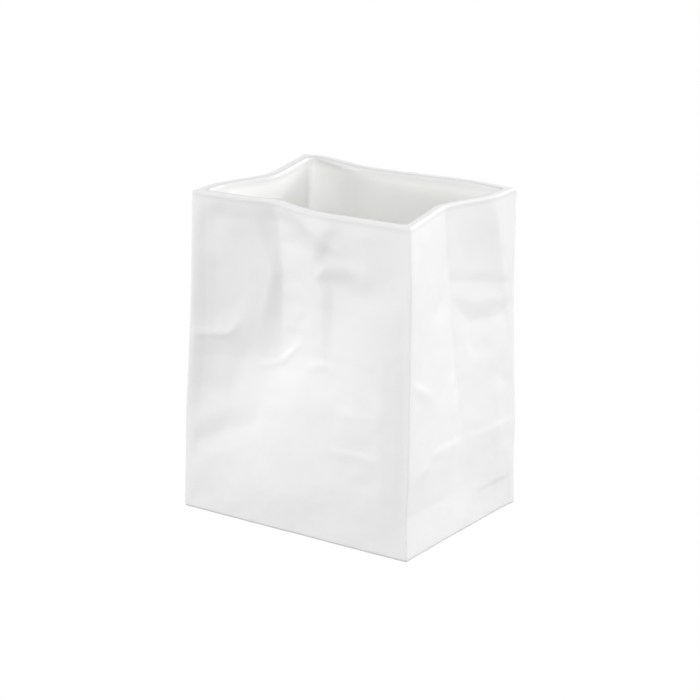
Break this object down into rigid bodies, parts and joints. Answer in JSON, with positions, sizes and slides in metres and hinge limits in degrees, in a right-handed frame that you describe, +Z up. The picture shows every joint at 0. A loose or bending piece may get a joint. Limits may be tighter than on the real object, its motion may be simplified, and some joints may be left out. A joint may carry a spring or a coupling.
{
  "type": "bag vase",
  "caption": "Upright ceramic vase in the shape of an open, crumpled paper bag, with folded-in narrow sides and a flat lip, matt outside and glazed inside, to hold water and flowers.",
  "frame": {"origin": "middle of the bounding box, at the height of the flat foot that the vase stands on", "axes": "+Z up out of the mouth, +X along the wide front towards its right side as seen from the front, +Y from the wide front towards the back"},
  "size_m": [0.1158, 0.086, 0.14],
  "materials": {
    "porcelain": "matt, unglazed bisque",
    "glaze": "clear gloss"
  },
  "bodies": {
    "root": {"porcelain_body": "porcelain", "inner_glaze": "glaze"}
  },
  "joints": []
}
